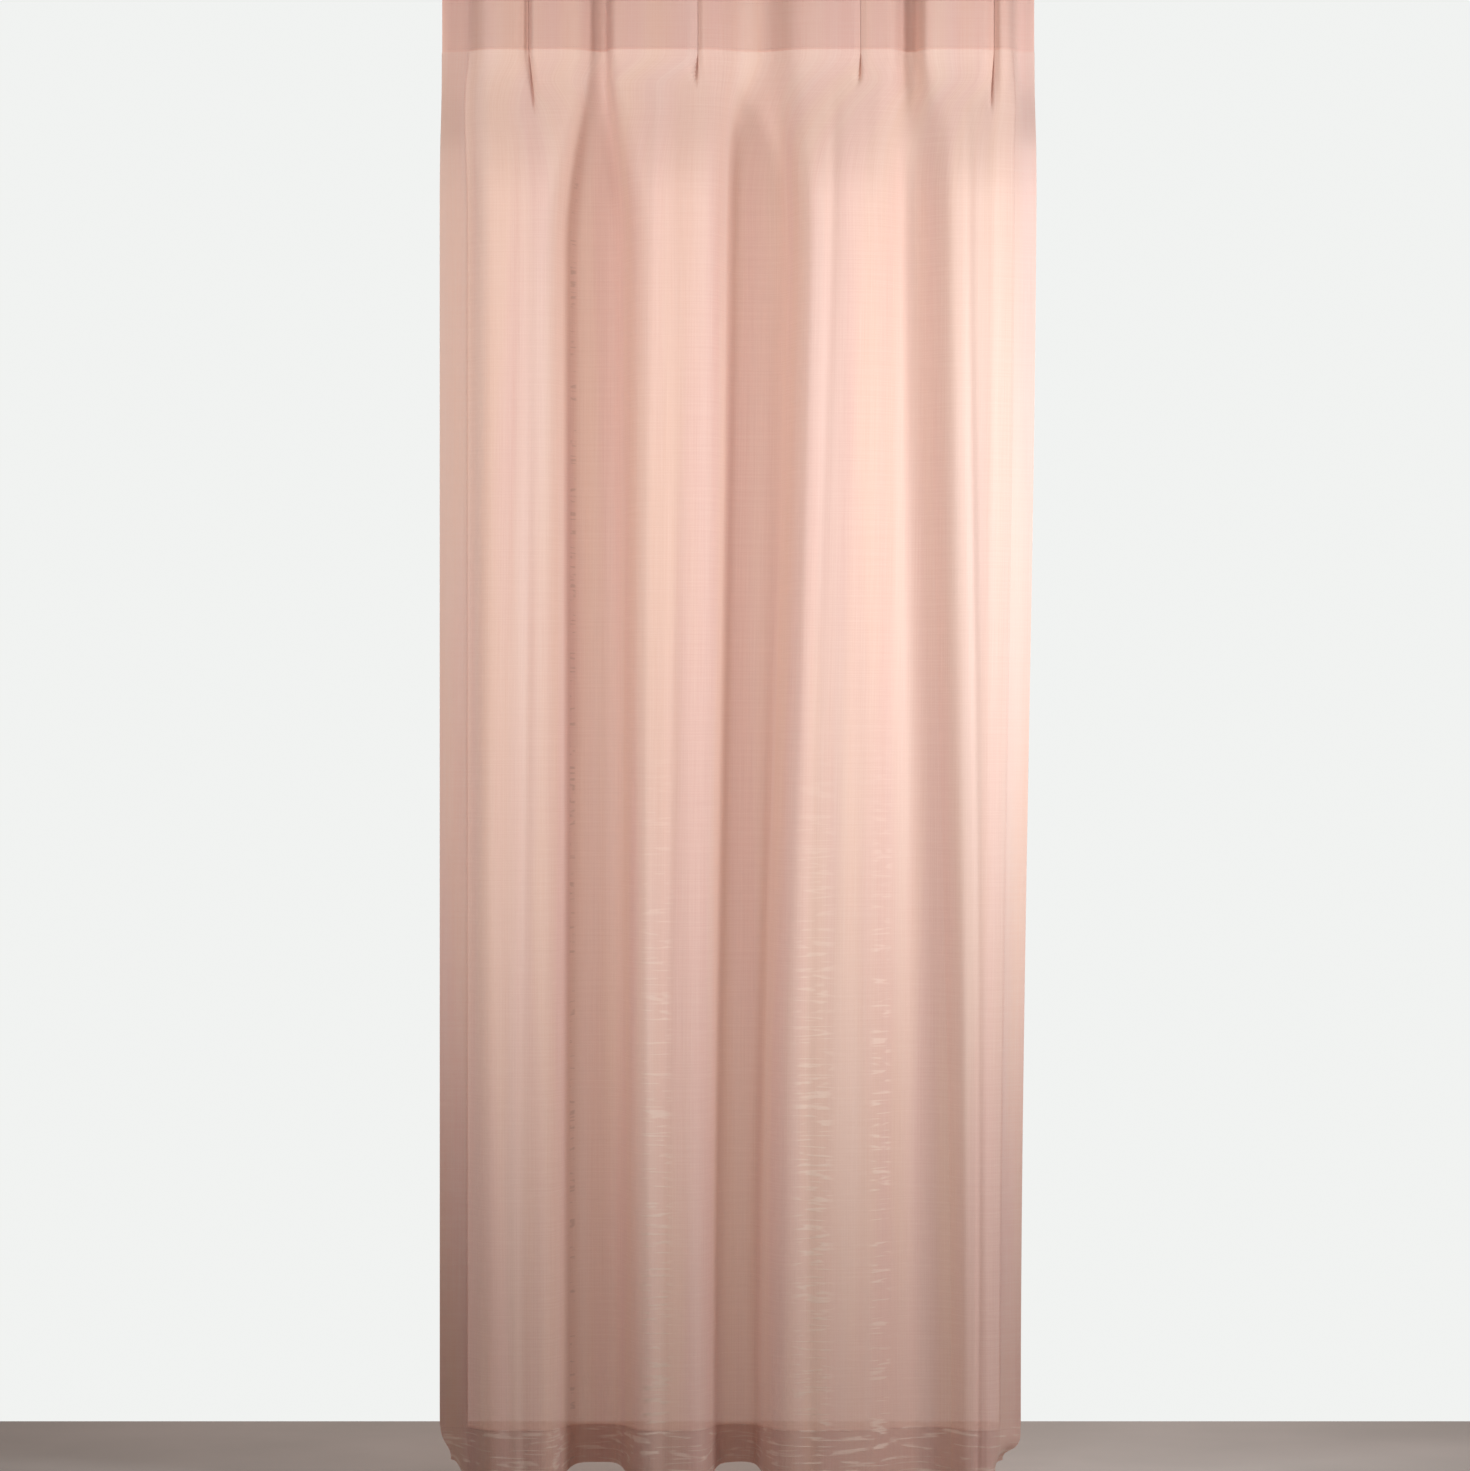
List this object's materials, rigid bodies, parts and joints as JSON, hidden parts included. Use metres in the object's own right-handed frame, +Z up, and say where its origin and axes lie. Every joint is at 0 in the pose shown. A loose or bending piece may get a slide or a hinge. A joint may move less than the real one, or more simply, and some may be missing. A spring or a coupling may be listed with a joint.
{
  "type": "room curtain panel",
  "caption": "Gathered semi-sheer room curtain panel on moulded hooks, with heading tape, draw cords and sewn hems, that draws aside along a track.",
  "frame": {"origin": "centre of the first hook's seat, at the panel's fixed left end, where the track's first glider holds it", "axes": "+Z up, +X right along the track as seen from the room, the face of the cloth looks along -Y"},
  "size_m": [1.004, 0.1323, 2.5],
  "materials": {
    "curtain_cloth": "semi-sheer blush pink slub weave, matt with a faint sheen",
    "heading_tape": "woven tape, off-white",
    "draw_cord": "braided cord, off-white",
    "sewing_thread": "spun polyester thread, blush pink",
    "care_label": "satin ribbon, blank",
    "hook_plastic": "moulded white plastic, fine grain"
  },
  "bodies": {
    "fixed_end": {"hook_1": "hook_plastic", "cloth_strip_1": "curtain_cloth", "heading_turnover": "curtain_cloth", "heading_tape": "heading_tape", "tape_pockets": "heading_tape", "draw_cord_upper": "draw_cord", "draw_cord_lower": "draw_cord", "side_hem_left": "curtain_cloth", "side_hem_right": "curtain_cloth", "bottom_hem": "curtain_cloth", "heading_stitching_upper": "sewing_thread", "heading_stitching_lower": "sewing_thread", "side_stitching_left": "sewing_thread", "side_stitching_right": "sewing_thread", "hem_stitching": "sewing_thread", "care_label": "care_label"},
    "glide_2": {"hook_2": "hook_plastic", "cloth_strip_2": "curtain_cloth"},
    "glide_3": {"hook_3": "hook_plastic", "cloth_strip_3": "curtain_cloth"},
    "glide_4": {"hook_4": "hook_plastic", "cloth_strip_4": "curtain_cloth"},
    "glide_5": {"hook_5": "hook_plastic", "cloth_strip_5": "curtain_cloth"},
    "glide_6": {"hook_6": "hook_plastic", "cloth_strip_6": "curtain_cloth"},
    "glide_7": {"hook_7": "hook_plastic", "cloth_strip_7": "curtain_cloth"},
    "glide_8": {"hook_8": "hook_plastic", "cloth_strip_8": "curtain_cloth"},
    "lead_end": {"hook_9": "hook_plastic", "cloth_strip_9": "curtain_cloth"}
  },
  "joints": [
    {"name": "draw", "type": "slide", "parent": "fixed_end", "child": "lead_end", "axis": [-1, 0, 0], "range_m": [0, 0.6832], "deforming": ["cloth_strip_9", "cloth_strip_1", "heading_turnover", "heading_tape", "tape_pockets", "draw_cord_upper", "draw_cord_lower", "side_hem_left", "side_hem_right", "bottom_hem", "heading_stitching_upper", "heading_stitching_lower", "side_stitching_left", "side_stitching_right", "hem_stitching", "care_label"]},
    {"name": "glide_2_slide", "type": "slide", "parent": "fixed_end", "child": "glide_2", "axis": [-1, 0, 0], "range_m": [0, 0.0943], "deforming": ["cloth_strip_2"]},
    {"name": "glide_3_slide", "type": "slide", "parent": "fixed_end", "child": "glide_3", "axis": [-1, 0, 0], "range_m": [0, 0.1839], "deforming": ["cloth_strip_3"]},
    {"name": "glide_4_slide", "type": "slide", "parent": "fixed_end", "child": "glide_4", "axis": [-1, 0, 0], "range_m": [0, 0.2945], "deforming": ["cloth_strip_4"]},
    {"name": "glide_5_slide", "type": "slide", "parent": "fixed_end", "child": "glide_5", "axis": [-1, 0, 0], "range_m": [0, 0.3414], "deforming": ["cloth_strip_5"]},
    {"name": "glide_6_slide", "type": "slide", "parent": "fixed_end", "child": "glide_6", "axis": [-1, 0, 0], "range_m": [0, 0.487], "deforming": ["cloth_strip_6"]},
    {"name": "glide_7_slide", "type": "slide", "parent": "fixed_end", "child": "glide_7", "axis": [-1, 0, 0], "range_m": [0, 0.5479], "deforming": ["cloth_strip_7"]},
    {"name": "glide_8_slide", "type": "slide", "parent": "fixed_end", "child": "glide_8", "axis": [-1, 0, 0], "range_m": [0, 0.6452], "deforming": ["cloth_strip_8"]}
  ],
  "couplings": [
    {"joint": "glide_2_slide", "follows": "draw", "ratio": 0.1373},
    {"joint": "glide_3_slide", "follows": "draw", "ratio": 0.26844},
    {"joint": "glide_4_slide", "follows": "draw", "ratio": 0.43033},
    {"joint": "glide_5_slide", "follows": "draw", "ratio": 0.49898},
    {"joint": "glide_6_slide", "follows": "draw", "ratio": 0.71209},
    {"joint": "glide_7_slide", "follows": "draw", "ratio": 0.80123},
    {"joint": "glide_8_slide", "follows": "draw", "ratio": 0.94365}
  ]
}
